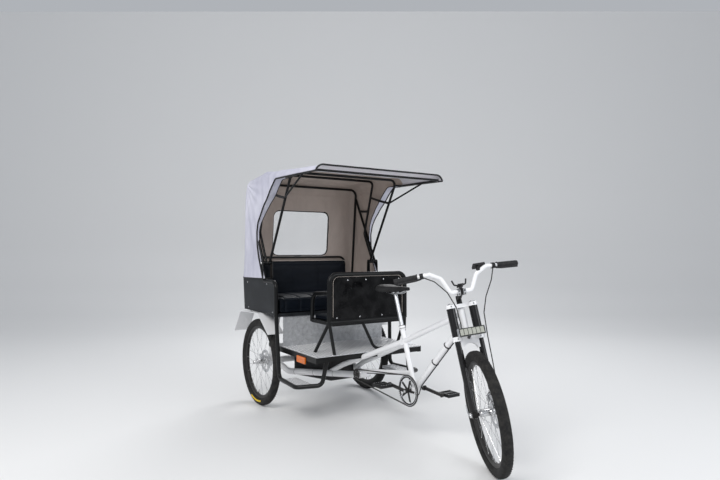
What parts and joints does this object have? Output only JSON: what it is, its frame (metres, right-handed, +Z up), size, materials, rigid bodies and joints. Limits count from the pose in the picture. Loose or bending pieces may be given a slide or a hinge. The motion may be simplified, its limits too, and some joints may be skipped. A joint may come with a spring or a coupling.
{
  "type": "cycle rickshaw",
  "caption": "Pedal-driven rickshaw with one steered front wheel, a hooded passenger bench over two rear wheels and a rear-facing jump seat.",
  "frame": {"origin": "on the ground under the middle of the vehicle's length and width", "axes": "+X forward, +Y to the rider's left, +Z up"},
  "size_m": [2.7137, 1.132, 1.8491],
  "materials": {
    "alloy": "brushed alloy",
    "amber": "amber lens",
    "black_paint": "gloss black powder coat",
    "black_plastic": "black moulded plastic",
    "chain_steel": "oiled steel",
    "checker_plate": "aluminium checker plate",
    "clear_film": "clear window film",
    "crank_black": "black",
    "fork_black": "gloss black",
    "grip_rubber": "ribbed rubber",
    "hood_fabric": "coated canvas, pale outside and taupe inside",
    "hose": "black hose",
    "hub": "bright steel spokes and hub",
    "lamp": "lamp bar with pale cells",
    "panel_grey": "dark grey panel",
    "red_lens": "red lens",
    "rim": "black anodised",
    "saddle_black": "black saddle cover",
    "tyre": "moulded rubber",
    "vinyl": "black vinyl",
    "white_paint": "gloss white powder coat"
  },
  "bodies": {
    "root": {"backrest_rail": "black_paint", "battery_box": "black_plastic", "bench_backrest": "vinyl", "bench_cushion": "vinyl", "bench_pan": "panel_grey", "canopy_rear": "hood_fabric", "canopy_roof": "hood_fabric", "chain": "chain_steel", "down_tube": "white_paint", "floor_beams": "black_paint", "floor_plate": "checker_plate", "frame_hose": "hose", "head_tube": "white_paint", "hood_rear_bow": "black_paint", "indicators": "amber", "jump_seat_cushion": "vinyl", "jump_seat_frame": "black_paint", "jump_seat_panel": "vinyl", "kick_panel": "checker_plate", "main_stays": "white_paint", "mudguards": "white_paint", "pivot_posts": "black_paint", "rear_axle": "white_paint", "rear_calipers": "alloy", "rear_lamps": "red_lens", "rear_window": "clear_film", "saddle": "saddle_black", "seat_tube": "white_paint", "seatpost": "alloy", "side_panels": "panel_grey", "steps": "black_paint", "top_tube": "white_paint", "v_stays": "white_paint"},
    "steering": {"fork_crowns": "white_paint", "fork_legs": "fork_black", "handlebar": "white_paint", "stem": "crank_black", "grips": "grip_rubber", "lamp_bar": "lamp", "brake_levers": "black_plastic", "bar_display": "black_plastic", "phone_holder": "black_plastic", "front_caliper": "alloy", "brake_hoses": "hose"},
    "jackshaft": {"jackshaft": "chain_steel"},
    "front_wheel": {"front_tyre": "tyre", "front_rim": "rim", "front_hub": "hub"},
    "rear_wheel_right": {"rear_right_tyre": "tyre", "rear_right_rim": "rim", "rear_right_hub": "hub"},
    "rear_wheel_left": {"rear_left_tyre": "tyre", "rear_left_rim": "rim", "rear_left_hub": "hub"},
    "crank": {"crankset": "crank_black"},
    "right_pedal": {"pedal_right": "black_plastic"},
    "left_pedal": {"pedal_left": "black_plastic"},
    "hood_front": {"hood_front_bow": "black_paint", "canopy_visor": "hood_fabric"},
    "hood_mid": {"hood_mid_bow": "black_paint"}
  },
  "joints": [
    {"name": "steering", "type": "hinge", "parent": "root", "child": "steering", "pos_m": [1.00745, 0, 0.32455], "axis": [-0.309, 0, 0.9511], "range_deg": [-21, 79]},
    {"name": "front_wheel_spin", "type": "hinge", "parent": "steering", "child": "front_wheel", "pos_m": [1.04904, -0.02424, 0.33806], "axis": [0.4611, 0.8746, 0.1498], "continuous": true},
    {"name": "rear_right_spin", "type": "hinge", "parent": "root", "child": "rear_wheel_right", "pos_m": [-0.955, -0.5, 0.34], "axis": [0, 1, 0], "continuous": true},
    {"name": "rear_left_spin", "type": "hinge", "parent": "root", "child": "rear_wheel_left", "pos_m": [-0.955, 0.5, 0.34], "axis": [0, 1, 0], "continuous": true},
    {"name": "crank_spin", "type": "hinge", "parent": "root", "child": "crank", "pos_m": [0.395, 0, 0.328], "axis": [0, 1, 0], "continuous": true},
    {"name": "jackshaft_spin", "type": "hinge", "parent": "root", "child": "jackshaft", "pos_m": [-0.2179, 0, 0.32], "axis": [0, 1, 0], "continuous": true},
    {"name": "right_pedal_spin", "type": "hinge", "parent": "crank", "child": "right_pedal", "pos_m": [0.22541, -0.14, 0.33986], "axis": [0, 1, 0], "continuous": true},
    {"name": "left_pedal_spin", "type": "hinge", "parent": "crank", "child": "left_pedal", "pos_m": [0.56459, 0.14, 0.31614], "axis": [0, 1, 0], "continuous": true},
    {"name": "hood_fold", "type": "hinge", "parent": "root", "child": "hood_front", "pos_m": [-0.835, 0, 1.13], "axis": [0, -1, 0], "range_deg": [0, 40], "deforming": ["canopy_roof"]},
    {"name": "hood_mid_fold", "type": "hinge", "parent": "root", "child": "hood_mid", "pos_m": [-0.835, 0, 1.13], "axis": [0, -1, 0], "range_deg": [0, 22.4]}
  ],
  "couplings": [
    {"joint": "hood_mid_fold", "follows": "hood_fold", "ratio": 0.56},
    {"joint": "jackshaft_spin", "follows": "crank_spin", "ratio": 2.6667}
  ]
}
